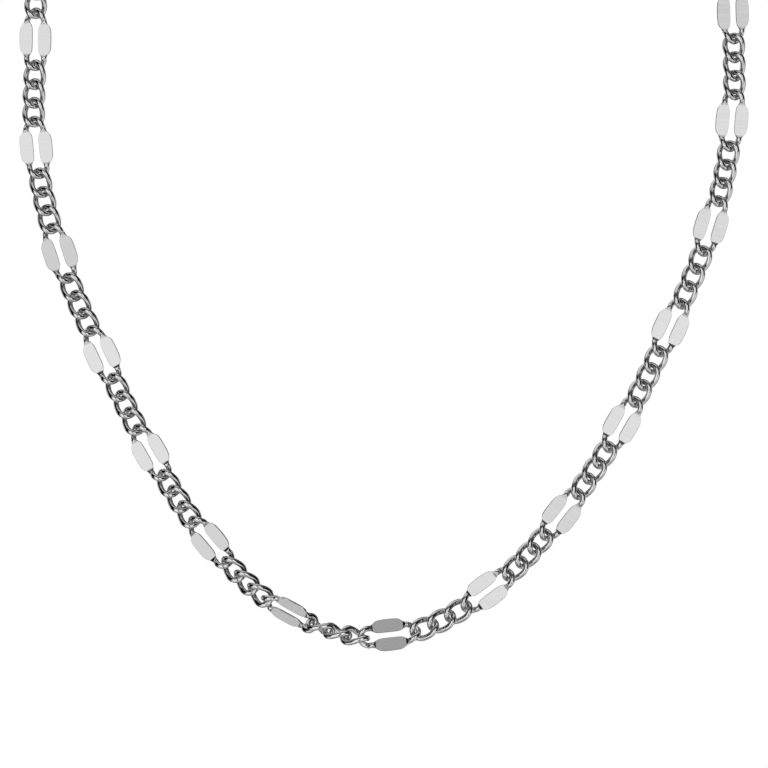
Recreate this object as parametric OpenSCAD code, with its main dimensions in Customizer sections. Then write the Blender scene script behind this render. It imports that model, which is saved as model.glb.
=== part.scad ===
// Curb chain necklace: long links with flat plates, each parted from the next by three round
// twisted links, closed by a plain barrel clasp at the nape. It hangs as it does round a neck:
// the front stretch in one leaning plane, the hidden stretch round the sides to the nape.
// Millimetres, Z up. The front faces -Y, and the origin is on the midline of the nape, where
// the clasp lies on it.

/* [Round links] */
// Diameter of the wire that every link is bent from
wire_d = 1; // [0.9:0.05:1]
// Outer length of a round link
ring_len = 5.8; // [5.8:0.05:5.85]
// Outer width of a round link
ring_w = 4.45; // [4.4:0.05:4.5]
// How far the twist lifts each corner of a link off its middle plane
twist_rise = 0.62; // [0.62:0.01:0.68]

/* [Plate links] */
// Outer length of a plate link, from bend to bend
plate_link_len = 12.25; // [12.25:0.05:12.4]
// Length of each flat plate
plate_len = 5.8; // [5.2:0.1:6]
// Distance between the inner edges of the two plates
plate_gap = 1.06; // [0.9:0.02:1.3]
// Width of each plate at its middle
plate_w = 2.58; // [2.2:0.02:2.8]
// How far one plate stands ahead of the other along the link
plate_stagger = 0.28; // [0:0.04:0.4]
// Thickness of each plate
plate_t = 0.38; // [0.3:0.02:0.6]
// Width of the bevel along each long edge of a plate
plate_bevel = 0.12; // [0.08:0.02:0.2]

/* [Clasp] */
// Length of the barrel between its two eyes
barrel_len = 11.6; // [11:0.2:12]
// Diameter of the barrel
barrel_d = 4; // [3.4:0.2:4.2]
// Diameter of the wire of each eye
eye_wire_d = 0.85; // [0.75:0.05:0.9]
// Diameter of the hole in each eye
eye_hole_d = 3; // [2.9:0.1:3.2]

/* [Necklace] */
// How far the front stretch leans forward from the vertical, in degrees
front_lean = 5; // [4:1:6]
// Height of the nape above the shoulder line, where the front stretch begins
nape_rise = 38; // [37:1:42]
// Free play between neighbouring links of the hidden stretch
hidden_play = 0.22; // [0.22:0.01:0.24]

/* [Hidden] */
// The visible front stretch, one row for each plate link from the right shoulder to the left:
// distance across, drop below the shoulder line, and how far it rolls outward in degrees.
// The chain is closed with half a turn in it, which shows between the two lowest plate links.
ACROSS = 0;
DROP = 1;
ROLL = 2;
drape = [
    [66.6, 2.1, 193],
    [66.5, 22.7, 190],
    [62.4, 42.9, 192],
    [54.5, 62.2, 189],
    [45.3, 80.7, 192],
    [33.8, 97.8, 196],
    [19.8, 112.4, 192],
    [1.1, 121.2, 168],
    [-18.2, 116.6, 52],
    [-33.2, 103, 25],
    [-44.5, 86, 16],
    [-53.7, 67.4, 12],
    [-61.9, 48.1, 4],
    [-66.5, 27.9, 8],
    [-66.4, 7.2, 14],
];

// Where the chain leaves the front, and how it lies round the sides and the nape
half_width = 66.4;
turn_rise = 4;
turn_reach = 27;
nape_reach = 58;
middle_rise = 18;
side_roll = 4;
nape_roll = 8;
half_turn = 180;
back_shares = [0.84, 0.68, 0.52, 0.36, 0.2];

// Half outline of a plate, one row for each section from near its middle to its end:
// share of the half length, and shares of the way that the inner and outer edges draw in
ALONG = 0;
INNER = 1;
OUTER = 2;
plate_outline = [
    [0.36, 0.06, 0.08],
    [0.78, 0.34, 0.42],
    [1, 1, 1],
];
inner_draw = 0.44;
outer_draw = 0.76;

// Barrel profile, one row for each corner: share of the half length and share of the radius
barrel_profile = [
    [1, 0.62],
    [0.94, 0.88],
    [0.82, 1],
    [0.04, 1],
    [0, 0.92],
];

RINGS_BETWEEN = 3;
HIDDEN_EACH_SIDE = 4;
RING_STEPS = 12;
RING_SIDES = 5;
PLATE_SIDES = 6;
BEND_ANGLES = [-81, -47, -15, 15, 47, 81];
SPAN_STEPS = 10;
SOLVER_STEPS = 16;
SHALLOWEST = 30;
DEEPEST = 80;

ring_a = (ring_len - wire_d) / 2;
ring_b = (ring_w - wire_d) / 2;
plate_link_a = (plate_link_len - wire_d) / 2;
ring_reach = ring_len / 2 - wire_d;
plate_reach = plate_link_len / 2 - wire_d;
eye_r = (eye_hole_d + eye_wire_d) / 2;
eye_place = barrel_len / 2 + eye_hole_d / 2;
clasp_reach = eye_place + eye_hole_d / 2;
rings_reach = 2 * RINGS_BETWEEN * ring_reach;
joint_play = (RINGS_BETWEEN + 1) * hidden_play;
hidden_pattern = 2 * plate_reach + rings_reach - joint_play;
hidden_end = plate_reach + clasp_reach + rings_reach - joint_play;
plates_made = len(drape) + 2 * HIDDEN_EACH_SIDE;
groups_made = plates_made + 1;

function unit(v) = v / norm(v);
function mix(a, b, share) = a + (b - a) * share;
function around(list, i) = list[(i + len(list)) % len(list)];

// Knots of the route, from the nape down the right side, along the front and up the left side
function front_knot(depth, across, drop) =
    [across, -depth - drop * tan(front_lean), -nape_rise - drop];
function back_knot(depth, side, share) =
    front_knot(depth, side * half_width, -turn_rise) * pow(1 - share, 3)
    + front_knot(depth, side * half_width, -turn_rise - turn_reach) * 3 * share * pow(1 - share, 2)
    + [side * nape_reach, barrel_d / 2, 0] * 3 * pow(share, 2) * (1 - share)
    + [0, barrel_d / 2, 0] * pow(share, 3);
function knots(depth) = concat(
    [back_knot(depth, 1, 1)],
    [for (share = back_shares) back_knot(depth, 1, share)],
    [back_knot(depth, 1, 0)],
    [for (row = drape) front_knot(depth, row[ACROSS], row[DROP])],
    [back_knot(depth, -1, 0)],
    [for (i = [len(back_shares) - 1 : -1 : 0]) back_knot(depth, -1, back_shares[i])]
);
first_seen_knot = len(back_shares) + 2;
last_seen_knot = first_seen_knot + len(drape) - 1;

// A smooth closed curve through the knots, as points, and the distance of each along it
function slope(k, i) = (around(k, i + 1) - around(k, i - 1))
    / (norm(around(k, i + 1) - around(k, i)) + norm(around(k, i) - around(k, i - 1)));
function span_point(p, q, p_slope, q_slope, f) =
    p * (2 * pow(f, 3) - 3 * pow(f, 2) + 1)
    + p_slope * norm(q - p) * (pow(f, 3) - 2 * pow(f, 2) + f)
    + q * (3 * pow(f, 2) - 2 * pow(f, 3))
    + q_slope * norm(q - p) * (pow(f, 3) - pow(f, 2));
function curve(k) = [
    for (i = [0 : len(k) - 1])
        for (j = [0 : SPAN_STEPS - 1])
            span_point(k[i], around(k, i + 1), slope(k, i), slope(k, i + 1), j / SPAN_STEPS)
];
function distances(p) = [
    for (i = 0, s = 0; i <= len(p); s = s + norm(around(p, i + 1) - around(p, i)), i = i + 1) s
];

// Depth from front to nape at which the whole chain just fills the curve
function spare_length(depth) =
    let (s = distances(curve(knots(depth))))
    s[len(s) - 1] - (s[last_seen_knot * SPAN_STEPS] - s[first_seen_knot * SPAN_STEPS])
    - 2 * (HIDDEN_EACH_SIDE * hidden_pattern + hidden_end);
function fitting_depth(low, high, steps) =
    let (middle = (low + high) / 2)
    steps == 0 ? middle
    : spare_length(middle) > 0 ? fitting_depth(low, middle, steps - 1)
    : fitting_depth(middle, high, steps - 1);
depth = fitting_depth(SHALLOWEST, DEEPEST, SOLVER_STEPS);

// Route as tables that give a point for a distance along it
route = curve(knots(depth));
route_s = distances(route);
route_len = route_s[len(route_s) - 1];
route_tables = [
    for (axis = [0 : 2])
        [for (i = [0 : len(route)]) [route_s[i], around(route, i)[axis]]]
];
function place(s) = [for (table = route_tables) lookup((s + route_len) % route_len, table)];

// Distance along the route of each plate link and of the clasp, and the roll there
first_seen_s = route_s[first_seen_knot * SPAN_STEPS];
last_seen_s = route_s[last_seen_knot * SPAN_STEPS];
plate_s = concat(
    [for (i = [HIDDEN_EACH_SIDE : -1 : 1]) first_seen_s - i * hidden_pattern],
    [for (i = [first_seen_knot : last_seen_knot]) route_s[i * SPAN_STEPS]],
    [for (i = [1 : HIDDEN_EACH_SIDE]) last_seen_s + i * hidden_pattern]
);
clasp_s = plate_s[0] - hidden_end;
roll_table = concat(
    [[clasp_s, half_turn + nape_roll]],
    [for (i = [0 : len(drape) - 1]) [plate_s[HIDDEN_EACH_SIDE + i], drape[i][ROLL]]],
    [[plate_s[plates_made - HIDDEN_EACH_SIDE / 2 - 1], side_roll]],
    [[clasp_s + route_len, nape_roll]]
);

// Round links share out the room in their group, between the pieces that end it
function ring_s(group, ring) =
    let (
        from_s = group == 0 ? clasp_s : plate_s[group - 1],
        from_reach = group == 0 ? clasp_reach : plate_reach,
        to_s = group == groups_made - 1 ? clasp_s + route_len : plate_s[group],
        to_reach = group == groups_made - 1 ? clasp_reach : plate_reach,
        play = (from_reach + to_reach + rings_reach - (to_s - from_s)) / (RINGS_BETWEEN + 1)
    )
    from_s + from_reach + ring_reach - play + ring * (2 * ring_reach - play);

// Frame of a link: its middle, then the directions along the chain, across it and off its face
function link_frame(s, reach) =
    let (
        start = place(s - reach),
        end = place(s + reach),
        along = unit(end - start),
        middle = (start + end) / 2,
        away = middle - front_knot(depth, 0, -middle_rise),
        outward = unit(away - along * (away * along)),
        face = cross(along, outward),
        roll = lookup(s, roll_table)
    )
    [middle, along, outward * cos(roll) - face * sin(roll), face * cos(roll) + outward * sin(roll)];
function placed(frame, p) = frame[0] + frame[1] * p[0] + frame[2] * p[1] + frame[3] * p[2];

// Round wire section of a link, square to the wire
function wire_section(centre, heading, sides) =
    let (up = unit([0, 0, 1] - heading * heading[2]), outward = cross(heading, up))
    [
        for (i = [0 : sides - 1])
            centre + (outward * cos(360 * i / sides) + up * sin(360 * i / sides)) * wire_d / 2
    ];

// Twisted oval that a round link and the bends of a plate link follow
function oval(t) = [ring_a * cos(t), ring_b * sin(t), -twist_rise * sin(2 * t)];
function oval_heading(t) = unit([-ring_a * sin(t), ring_b * cos(t), -2 * twist_rise * cos(2 * t)]);
ring_points = [
    for (i = [0 : RING_STEPS - 1])
        let (t = 360 * (i + 0.5) / RING_STEPS)
        each wire_section(oval(t), oval_heading(t), RING_SIDES)
];

// Plate section at a place along the link, on the side where across is positive
function plate_section(row, end) =
    let (
        x = end * row[ALONG] * plate_len / 2 + plate_stagger / 2,
        inner = plate_gap / 2 + inner_draw * row[INNER],
        outer = plate_gap / 2 + plate_w - outer_draw * row[OUTER],
        z = plate_t / 2
    )
    [
        [x, outer, 0],
        [x, outer - plate_bevel, z],
        [x, inner + plate_bevel, z],
        [x, inner, 0],
        [x, inner + plate_bevel, -z],
        [x, outer - plate_bevel, -z],
    ];
function turned(points) = [for (p = points) [-p[0], -p[1], p[2]]];
bend_points = [
    for (t = BEND_ANGLES)
        each wire_section(
            oval(t) + [plate_link_a - ring_a, 0, 0], oval_heading(t), PLATE_SIDES)
];
side_points = [
    for (end = [1, -1])
        for (i = [0 : len(plate_outline) - 1])
            each plate_section(plate_outline[end > 0 ? len(plate_outline) - 1 - i : i], end)
];
plate_link_points = concat(bend_points, side_points, turned(bend_points), turned(side_points));

// Triangles of a closed loop of sections whose points start at a given number
function loop_faces(steps, sides, start) = [
    for (i = [0 : steps - 1])
        for (j = [0 : sides - 1])
            let (
                a = start + i * sides + j,
                b = start + (i + 1) % steps * sides + j,
                c = start + (i + 1) % steps * sides + (j + 1) % sides,
                d = start + i * sides + (j + 1) % sides
            )
            each [[a, d, c], [a, c, b]]
];

module curb_links(first_group, last_group) {
    frames = [
        for (group = [first_group : last_group])
            for (ring = [0 : RINGS_BETWEEN - 1])
                link_frame(ring_s(group, ring), ring_reach)
    ];
    color("silver")
    polyhedron(
        points = [for (frame = frames) for (p = ring_points) placed(frame, p)],
        faces = [
            for (i = [0 : len(frames) - 1])
                each loop_faces(RING_STEPS, RING_SIDES, i * len(ring_points))
        ],
        convexity = 10
    );
}

module plate_link(number) {
    frame = link_frame(plate_s[number], plate_reach);
    color("gainsboro")
    polyhedron(
        points = [for (p = plate_link_points) placed(frame, p)],
        faces = loop_faces(len(plate_link_points) / PLATE_SIDES, PLATE_SIDES, 0),
        convexity = 4
    );
}

module barrel() {
    half = [for (row = barrel_profile) [row[1] * barrel_d / 2, row[0] * barrel_len / 2]];
    profile = concat(
        [[0, barrel_len / 2]],
        half,
        [for (i = [len(half) - 2 : -1 : 0]) [half[i][0], -half[i][1]]],
        [[0, -barrel_len / 2]]
    );
    rotate([0, 90, 0])
    rotate_extrude($fn = 48)
    polygon(profile);
}

module eye() {
    rotate([90, 0, 0])
    rotate_extrude($fn = 48)
    translate([eye_r, 0])
    circle(d = eye_wire_d, $fn = 24);
}

module clasp() {
    frame = link_frame(clasp_s, clasp_reach);
    color("silver")
    multmatrix([for (i = [0 : 2]) [frame[1][i], frame[2][i], frame[3][i], frame[0][i]]]) {
        barrel();
        for (end = [1, -1]) translate([end * eye_place, 0, 0]) eye();
    }
}

function plate_name(number) = str("plate_link_", number < 9 ? "0" : "", number + 1);

clasp();
curb_links(0, groups_made / 2 - 1);  // curb_links_right
curb_links(groups_made / 2, groups_made - 1);  // curb_links_left
for (i = [0 : plates_made - 1])
    plate_link(i);
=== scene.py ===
"""Curb chain necklace in polished and brushed steel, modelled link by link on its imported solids.
Sizes are in metres, Z is up and the front faces -Y."""

import math

import bmesh
import bpy
import numpy as np
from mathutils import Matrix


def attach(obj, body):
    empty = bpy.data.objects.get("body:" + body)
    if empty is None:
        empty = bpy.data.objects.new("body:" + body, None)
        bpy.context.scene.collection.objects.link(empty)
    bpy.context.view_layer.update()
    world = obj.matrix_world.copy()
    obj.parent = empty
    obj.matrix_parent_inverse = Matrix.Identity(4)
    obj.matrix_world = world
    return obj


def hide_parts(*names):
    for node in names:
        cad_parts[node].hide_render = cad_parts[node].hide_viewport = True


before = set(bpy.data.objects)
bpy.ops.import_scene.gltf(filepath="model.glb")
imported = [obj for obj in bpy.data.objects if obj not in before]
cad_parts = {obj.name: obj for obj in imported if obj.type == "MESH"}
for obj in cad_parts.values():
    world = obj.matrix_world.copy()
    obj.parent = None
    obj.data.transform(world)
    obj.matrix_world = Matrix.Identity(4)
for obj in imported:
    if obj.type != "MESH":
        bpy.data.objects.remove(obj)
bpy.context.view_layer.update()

MM = 0.001

# Round links: wire along an oval that the twist lifts and lowers by this much at most
WIRE_R = 0.54 * MM
RING_LENGTH = 5.9 * MM
RING_WIDTH = 4.45 * MM
TWIST_RISE = 0.74 * MM
RING_STEPS = 72
RING_SIDES = 20

# Plate links: two plates with a gap between them, one ahead of the other by the stagger
PLATE_LINK_LENGTH = 12.2 * MM
PLATE_LENGTH = 5.8 * MM
PLATE_GAP = 1.04 * MM
PLATE_WIDTH = 2.64 * MM
PLATE_STAGGER = 0.28 * MM
PLATE_THICKNESS = 0.38 * MM
PLATE_STEPS = 28
PLATE_SIDES = 32

# Each long edge of a plate draws in toward the plate's ends. A share of the draw grows with the
# square of the way to the end and bows the edge, and the rest grows with the power and rounds its
# shoulders.
INNER_DRAW = 0.4 * MM
INNER_BOW = 0.1
INNER_POWER = 6
OUTER_DRAW = 0.74 * MM
OUTER_BOW = 0.18
OUTER_POWER = 5.5

# Bends: pressed walls lead from the plates to the wire. The wire is level until this angle from
# the bend's crown, and its twist grows over the next. Sections crowd toward the plates by a
# power, and a wire's heading is taken over a small angle to either side.
WALL_LENGTH = 0.5 * MM
LEVEL_ANGLE = math.radians(83)
TWIST_BLEND = math.radians(17)
LEAD_STEPS = 6
BEND_STEPS = 44
BEND_CROWDING = 1.25
HEADING_STEP = 0.001
SHARP_ANGLE = math.radians(30)

# Reading the solids: corners past this share of a plate link's reach are its far ends, which
# each pass finds anew along a better direction, and corners up to this much past a plate's own
# length are the plate's
FAR_END = 0.86
END_PASSES = 3
PLATE_MARGIN = 0.1 * MM
WELD_DISTANCE = 1e-6
FLAT_TOLERANCE = 1e-9

# Steel: noise lies mostly between these values, and the links of a piece lie this many
# millimetres apart on the map of their surfaces, so that no two have the same grain
NOISE_LOW, NOISE_HIGH = 0.3, 0.7
BLUE_TINT = 1.01
MAP_SPACING = 20

# Photograph: its frame is a square this wide at the chain's front, centred on the neck's
# midline. The sensor's width is in millimetres.
FRAME_WIDTH = 145.92 * MM
FRAME_TOP = -38 * MM
FRONT_Y = -48 * MM
CAMERA_DISTANCE = 2.2
SENSOR_WIDTH = 36

# Floor, out of the photograph's sight
FLOOR_SIZE = 1.0
FLOOR_Z = -1.2
FLOOR_GRAINS_PER_METRE = 30
FLOOR_SHADES = (0.89, 0.91)
FLOOR_ROUGHNESS = 0.8

# Light tent: each card has the azimuth of its middle, its half width, its lowest and highest
# elevation and the softness of its edges, in degrees, then its brightness. Azimuth 0 is toward
# the camera, and it grows to the right. A later card covers those before it.
SURROUND = 0.05
STUDIO_CARDS = [
    (0, 180, -120, -48, 8, 0.9),
    (180, 72, -45, -12, 6, 0.12),
    (180, 80, -14, 16, 5, 0.7),
    (180, 75, 16, 42, 6, 0.1),
    (70, 50, -60, -24, 6, 0.9),
    (-55, 15, -42, -16, 5, 1.3),
    (-22, 19, -48, 26, 4, 1.28),
    (20, 13, -28, 24, 4, 1.35),
    (-70, 26, -18, 42, 5, 0),
    (60, 27, -24, 44, 5, 0),
    (35, 55, 27, 62, 6, 0.1),
    (0, 180, 62, 120, 8, 0.8),
    (-125, 42, 38, 88, 8, 1.0),
    (0, 6, -5, 27, 4, 0.35),
    (-4, 14, 26, 42, 4, 0.6),
]

RING_A = RING_LENGTH / 2 - WIRE_R
RING_B = RING_WIDTH / 2 - WIRE_R
BEND_PLACE = PLATE_LINK_LENGTH / 2 - WIRE_R - RING_A


def solids(node):
    """Corner points of each closed solid of a CAD node."""
    mesh = bmesh.new()
    mesh.from_mesh(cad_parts[node].data)
    bmesh.ops.remove_doubles(mesh, verts=mesh.verts, dist=WELD_DISTANCE)
    seen, found = set(), []
    for start in mesh.verts:
        if start in seen:
            continue
        seen.add(start)
        reached = [start]
        for corner in reached:
            for edge in corner.link_edges:
                other = edge.other_vert(corner)
                if other not in seen:
                    seen.add(other)
                    reached.append(other)
        found.append(np.array([corner.co for corner in reached]))
    mesh.free()
    return found


def unit(vector):
    """Vector of length 1 with the same direction."""
    return vector / np.linalg.norm(vector)


def link_frame(points):
    """Middle of a link, and its directions along, across and off its face as columns."""
    middle = points.mean(axis=0)
    directions = np.linalg.eigh(np.cov((points - middle).T))[1]
    along, across = directions[:, 2], directions[:, 1]
    return middle, np.column_stack([along, across, np.cross(along, across)])


def plate_link_frame(points):
    """The same for a plate link. Its staggered plates turn the spread of its corners, so its
    length is taken between its far ends, and the plate that stands ahead gives its side."""
    middle, directions = link_frame(points)
    along, across = directions[:, 0], directions[:, 1]
    for _ in range(END_PASSES):
        reach = (points - middle) @ along
        ends = [points[reach * end > FAR_END * reach.max()].mean(axis=0) for end in (1, -1)]
        along = unit(ends[0] - ends[1])
    across = unit(across - along * (along @ across))
    place = (points - middle) @ np.column_stack([along, across])
    plates = place[np.abs(place[:, 0]) < (PLATE_LENGTH + PLATE_STAGGER) / 2 + PLATE_MARGIN]
    across = across * np.sign((plates[:, 0] * np.sign(plates[:, 1])).sum())
    return middle, np.column_stack([along, across, np.cross(along, across)])


def oval_point(t):
    """Middle of the wire of a round link, at an angle round the link."""
    return np.array([RING_A * math.cos(t), RING_B * math.sin(t), -TWIST_RISE * math.sin(2 * t)])


def heading_at(middle_at, t):
    """Direction in which a wire runs on, at an angle round its link."""
    return middle_at(t + HEADING_STEP) - middle_at(t - HEADING_STEP)


def section_axes(heading):
    """Sideways and upward directions of a wire section that lies square to its heading."""
    heading = unit(heading)
    up = unit(np.array([0, 0, 1]) - heading * heading[2])
    return np.cross(heading, up), up


def circle(sides):
    """Cosines and sines of the angles of a section's corners."""
    angles = np.arange(sides) * 2 * math.pi / sides
    return np.cos(angles), np.sin(angles)


def ring_sections():
    """Sections of a round link: a round wire along a twisted oval."""
    cosines, sines = circle(RING_SIDES)
    sections = []
    for step in range(RING_STEPS):
        t = 2 * math.pi * step / RING_STEPS
        sideways, up = section_axes(heading_at(oval_point, t))
        around = np.outer(cosines, sideways) + np.outer(sines, up)
        sections.append(oval_point(t) + WIRE_R * around)
    return sections


def smooth(share):
    """Share from 0 to 1 with a soft start and end."""
    share = min(max(share, 0), 1)
    return share * share * (3 - 2 * share)


def drawn(share, bow, power):
    """Share of an edge's draw at a share of the way to the plate's end."""
    return bow * share**2 + (1 - bow) * share**power


def plate_edges(x):
    """Distances of the inner and outer edge of a plate from the link's axis."""
    share = abs(x) / (PLATE_LENGTH / 2)
    inner = PLATE_GAP / 2 + INNER_DRAW * drawn(share, INNER_BOW, INNER_POWER)
    outer = PLATE_GAP / 2 + PLATE_WIDTH - OUTER_DRAW * drawn(share, OUTER_BOW, OUTER_POWER)
    return inner, outer


def plate_sections():
    """Sections of one plate, from its positive to its negative end."""
    cosines, sines = circle(PLATE_SIDES)
    sections = []
    for step in range(PLATE_STEPS + 1):
        x = PLATE_LENGTH / 2 * math.cos(math.pi * step / PLATE_STEPS)
        inner, outer = plate_edges(x)
        y = (inner + outer) / 2 + (outer - inner) / 2 * cosines
        z = np.clip(WIRE_R * sines, -PLATE_THICKNESS / 2, PLATE_THICKNESS / 2)
        sections.append(np.column_stack([np.full(PLATE_SIDES, x + PLATE_STAGGER / 2), y, z]))
    return sections


def bend_centre(t):
    """Middle of the wire of a bend. It leaves the plates level, then twists."""
    twist = smooth((LEVEL_ANGLE - abs(t)) / TWIST_BLEND)
    return oval_point(t) * [1, 1, twist] + [BEND_PLACE, 0, 0]


def wire_to_plate(centre, heading, side):
    """Section of the wire near a plate: it narrows from the plate's straight end, and the
    pressed walls rise from the plate's two faces until they clear the wire."""
    cosines, sines = circle(PLATE_SIDES)
    inner, outer = plate_edges(PLATE_LENGTH / 2)
    away = centre[0] - PLATE_LENGTH / 2 - side * PLATE_STAGGER / 2
    risen = away / WALL_LENGTH
    height = PLATE_THICKNESS / 2 + (WIRE_R - PLATE_THICKNESS / 2) * risen
    widen = 1 - smooth(risen)
    half = WIRE_R + ((outer - inner) / 2 - WIRE_R) * widen
    middle = centre + np.array([0, side * ((outer + inner) / 2 - RING_B) * widen, 0])
    sideways, up = section_axes(heading)
    points = middle + np.outer(half * cosines, sideways) + np.outer(WIRE_R * sines, up)
    points[:, 2] = np.clip(points[:, 2], middle[2] - height, middle[2] + height)
    return points


def lead_sections(side):
    """Sections of the straight wire from a plate's end to the start of the bend."""
    plate_end = PLATE_LENGTH / 2 + side * PLATE_STAGGER / 2
    heading = np.array([-side, 0, 0])
    sections = []
    for step in range(1, LEAD_STEPS + 1):
        x = plate_end + (BEND_PLACE - plate_end) * step / LEAD_STEPS
        sections.append(wire_to_plate(np.array([x, side * RING_B, 0]), heading, side))
    return sections


def bend_sections():
    """Sections of the wire from one plate's end round the bend to the end of the other."""
    around = []
    for step in range(1, BEND_STEPS):
        share = 2 * step / BEND_STEPS - 1
        t = math.pi / 2 * math.copysign(1 - (1 - abs(share)) ** BEND_CROWDING, share)
        heading = heading_at(bend_centre, t)
        around.append(wire_to_plate(bend_centre(t), heading, math.copysign(1, t)))
    return lead_sections(-1) + around + lead_sections(1)[::-1]


def turned(sections):
    """The same sections on the link's other side, half a turn about its face direction."""
    return [section * [-1, -1, 1] for section in sections]


def plate_link_sections():
    """Sections of a whole plate link."""
    bend, plate = bend_sections(), plate_sections()
    return bend + plate + turned(bend) + turned(plate)


def flat_faces(local, faces):
    """Whether each face of a link lies on the flat front or back of a plate."""
    heights = np.abs(local[np.array(faces), 2])
    return np.all(np.abs(heights - PLATE_THICKNESS / 2) < FLAT_TOLERANCE, axis=1)


def loop_faces(steps, sides):
    """Faces of a closed loop of sections, by the numbers of their corners."""
    faces = []
    for step in range(steps):
        here, ahead = step * sides, (step + 1) % steps * sides
        for side in range(sides):
            beside = (side + 1) % sides
            faces.append((here + side, ahead + side, ahead + beside, here + beside))
    return faces


def link_piece(name, node, sections, frame_of, materials):
    """One object of links that replaces a CAD node, with each link on its own solid. A second
    material goes on the flat plates. The UV map link_place holds each point's place along and
    across its link, in millimetres."""
    local = np.concatenate(sections)
    link_faces = loop_faces(len(sections), len(sections[0]))
    corners, places, faces = [], [], []
    for number, points in enumerate(solids(node)):
        middle, directions = frame_of(points)
        faces += (np.array(link_faces) + number * len(local)).tolist()
        corners.append(middle + local @ directions.T)
        places.append(local[:, :2] / MM + [MAP_SPACING * number, 0])
    mesh = bpy.data.meshes.new(name)
    mesh.from_pydata(np.concatenate(corners).tolist(), [], faces)
    for material in materials:
        mesh.materials.append(material)
    if len(materials) > 1:
        flat = flat_faces(local, link_faces).astype(np.int32)
        mesh.polygons.foreach_set("material_index", np.tile(flat, len(corners)))
    places = np.concatenate(places)
    uv = mesh.uv_layers.new(name="link_place")
    corner_of_loop = np.zeros(len(mesh.loops), dtype=int)
    mesh.loops.foreach_get("vertex_index", corner_of_loop)
    uv.data.foreach_set("uv", places[corner_of_loop].astype(np.float32).ravel())
    mesh.shade_smooth()
    piece = bpy.data.objects.new(name, mesh)
    bpy.context.scene.collection.objects.link(piece)
    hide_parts(node)
    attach(piece, "root")
    return piece


def calculated(tree, operation, *values):
    """Output of a Math node for numbers and for outputs of other nodes."""
    node = tree.nodes.new("ShaderNodeMath")
    node.operation = operation
    for socket, value in zip(node.inputs, values):
        if isinstance(value, bpy.types.NodeSocket):
            tree.links.new(value, socket)
        else:
            socket.default_value = value
    return node.outputs[0]


def ranged(tree, value, from_low, from_high, to_low, to_high, kind="LINEAR"):
    """Output of a Map Range node."""
    node = tree.nodes.new("ShaderNodeMapRange")
    node.interpolation_type = kind
    tree.links.new(value, node.inputs["Value"])
    numbers = {"From Min": from_low, "From Max": from_high, "To Min": to_low, "To Max": to_high}
    for name, number in numbers.items():
        node.inputs[name].default_value = number
    return node.outputs["Result"]


def noise_at(tree, place, scale, detail):
    """Noise at an output's places, with its grains per unit along each axis."""
    grain = tree.nodes.new("ShaderNodeMapping")
    grain.inputs["Scale"].default_value = scale
    noise = tree.nodes.new("ShaderNodeTexNoise")
    noise.inputs["Scale"].default_value = 1
    noise.inputs["Detail"].default_value = detail
    tree.links.new(place, grain.inputs["Vector"])
    tree.links.new(grain.outputs["Vector"], noise.inputs["Vector"])
    return noise.outputs["Fac"]


def place_on_link(tree):
    """A point's place along and across its link, in millimetres."""
    place = tree.nodes.new("ShaderNodeUVMap")
    place.uv_map = "link_place"
    return place.outputs["UV"]


def place_on_object(tree):
    """A point's place on its object, in metres."""
    return tree.nodes.new("ShaderNodeTexCoord").outputs["Object"]


def greys(tree, value, shades):
    """Grey that follows a noise, as the output of a Color Ramp node."""
    tone = tree.nodes.new("ShaderNodeValToRGB")
    for stop, place, shade in zip(tone.color_ramp.elements, (NOISE_LOW, NOISE_HIGH), shades):
        stop.position = place
        stop.color = (shade, shade, shade * BLUE_TINT, 1)
    tree.links.new(value, tone.inputs["Fac"])
    return tone.outputs["Color"]


def steel(name, place, scale, detail, shades, roughness, bump_depth):
    """Steel whose shade, roughness and relief all follow one grain."""
    material = bpy.data.materials.new(name)
    material.use_nodes = True
    tree = material.node_tree
    shader = tree.nodes["Principled BSDF"]
    shader.inputs["Metallic"].default_value = 1
    grain = noise_at(tree, place(tree), scale, detail)
    tree.links.new(greys(tree, grain, shades), shader.inputs["Base Color"])
    rough = ranged(tree, grain, NOISE_LOW, NOISE_HIGH, *roughness)
    tree.links.new(rough, shader.inputs["Roughness"])
    bump = tree.nodes.new("ShaderNodeBump")
    bump.inputs["Strength"].default_value = 1
    bump.inputs["Distance"].default_value = bump_depth
    tree.links.new(grain, bump.inputs["Height"])
    tree.links.new(bump.outputs["Normal"], shader.inputs["Normal"])
    return material


def add_camera():
    """Camera straight in front of the chain, with the photograph's frame at the chain's front."""
    camera = bpy.data.objects.new("camera", bpy.data.cameras.new("camera"))
    camera.data.sensor_width = SENSOR_WIDTH
    camera.data.lens = SENSOR_WIDTH * CAMERA_DISTANCE / FRAME_WIDTH
    camera.location = (0, FRONT_Y - CAMERA_DISTANCE, FRAME_TOP - FRAME_WIDTH / 2)
    camera.rotation_euler = (math.pi / 2, 0, 0)
    bpy.context.scene.collection.objects.link(camera)
    bpy.context.scene.camera = camera


def add_floor():
    """Plain pale floor far below the chain."""
    bpy.ops.mesh.primitive_plane_add(size=FLOOR_SIZE, location=(0, 0, FLOOR_Z))
    floor = bpy.context.object
    floor.name = "floor"
    material = bpy.data.materials.new("pale_floor")
    material.use_nodes = True
    tree = material.node_tree
    shader = tree.nodes["Principled BSDF"]
    grain = noise_at(tree, place_on_object(tree), [FLOOR_GRAINS_PER_METRE] * 3, detail=3)
    tree.links.new(greys(tree, grain, FLOOR_SHADES), shader.inputs["Base Color"])
    shader.inputs["Roughness"].default_value = FLOOR_ROUGHNESS
    floor.data.materials.append(material)


def soft_band(tree, distance, half_width, soft):
    """Output that is 1 within half a width of a middle and falls to 0 over a soft edge."""
    distance = calculated(tree, "ABSOLUTE", distance)
    return ranged(tree, distance, half_width + soft, half_width - soft, 0.0, 1.0, "SMOOTHSTEP")


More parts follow.
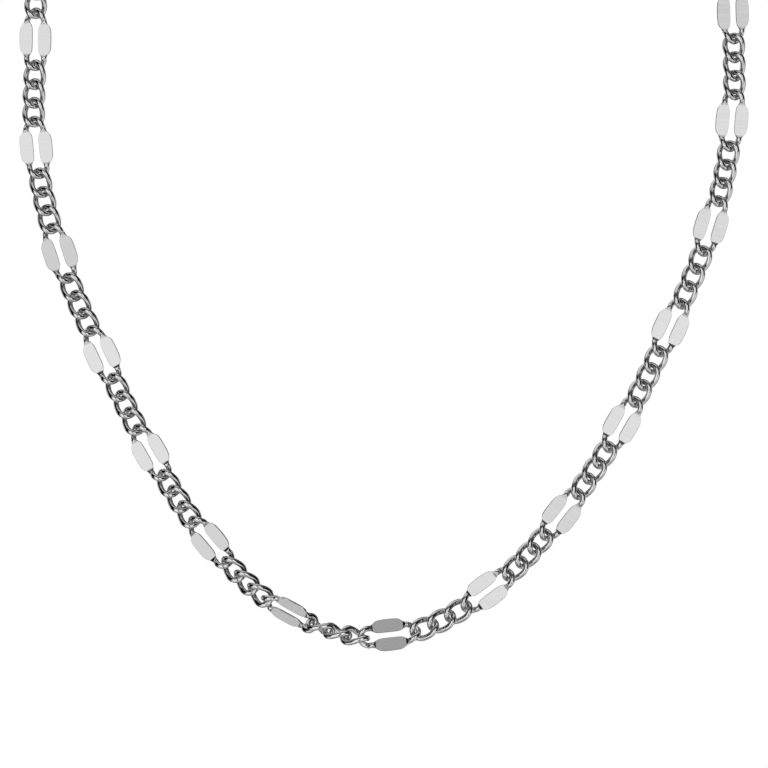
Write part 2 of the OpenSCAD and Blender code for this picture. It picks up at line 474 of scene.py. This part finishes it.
def add_studio():
    """A light tent: a dark surround with soft-edged bright and dark cards on it, by direction.
    It is plain white where the camera sees it, and the links mirror the cards."""
    world = bpy.data.worlds.new("studio")
    bpy.context.scene.world = world
    world.use_nodes = True
    tree = world.node_tree
    direction = tree.nodes.new("ShaderNodeTexCoord").outputs["Generated"]
    split = tree.nodes.new("ShaderNodeSeparateXYZ")
    tree.links.new(direction, split.inputs["Vector"])
    toward_front = calculated(tree, "MULTIPLY", split.outputs["Y"], -1.0)
    turn = calculated(tree, "ARCTAN2", split.outputs["X"], toward_front)
    azimuth = calculated(tree, "DEGREES", turn)
    elevation = calculated(tree, "DEGREES", calculated(tree, "ARCSINE", split.outputs["Z"]))
    light = SURROUND
    for azimuth_middle, half_width, low, high, soft, brightness in STUDIO_CARDS:
        beside = calculated(tree, "SUBTRACT", azimuth, azimuth_middle)
        beside = calculated(tree, "WRAP", beside, 180.0, -180.0)
        above = calculated(tree, "SUBTRACT", elevation, (low + high) / 2)
        cover = calculated(
            tree, "MULTIPLY",
            soft_band(tree, beside, half_width, soft),
            soft_band(tree, above, (high - low) / 2, soft))
        change = calculated(tree, "SUBTRACT", brightness, light)
        light = calculated(tree, "MULTIPLY_ADD", change, cover, light)
    seen_plainly = tree.nodes.new("ShaderNodeLightPath").outputs["Is Camera Ray"]
    light = calculated(tree, "MAXIMUM", light, seen_plainly)
    tree.links.new(light, tree.nodes["Background"].inputs["Color"])
    bpy.context.scene.view_settings.view_transform = "Standard"


wire = steel(
    "polished_steel", place_on_link, scale=(1.2, 1.2, 1), detail=2,
    shades=(0.6, 0.64), roughness=(0.03, 0.06), bump_depth=0.0002 * MM)
plate = steel(
    "brushed_steel", place_on_link, scale=(2.5, 0.15, 1), detail=2,
    shades=(0.61, 0.64), roughness=(0.22, 0.28), bump_depth=0.0003 * MM)
barrel = steel(
    "barrel_steel", place_on_object, scale=(1200, 1200, 1200), detail=2,
    shades=(0.6, 0.64), roughness=(0.05, 0.09), bump_depth=0.0002 * MM)

ring = ring_sections()
for side in ["right", "left"]:
    rings = link_piece("round_links_" + side, "curb_links_" + side, ring, link_frame, [wire])
plate_link = plate_link_sections()
for node in sorted(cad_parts):
    if node.startswith("plate_link"):
        name = node.replace("plate_link", "plated_link")
        piece = link_piece(name, node, plate_link, plate_link_frame, [wire, plate])
        piece.data.set_sharp_from_angle(angle=SHARP_ANGLE)
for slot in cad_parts["clasp"].material_slots:
    slot.material = barrel

add_camera()
add_floor()
add_studio()
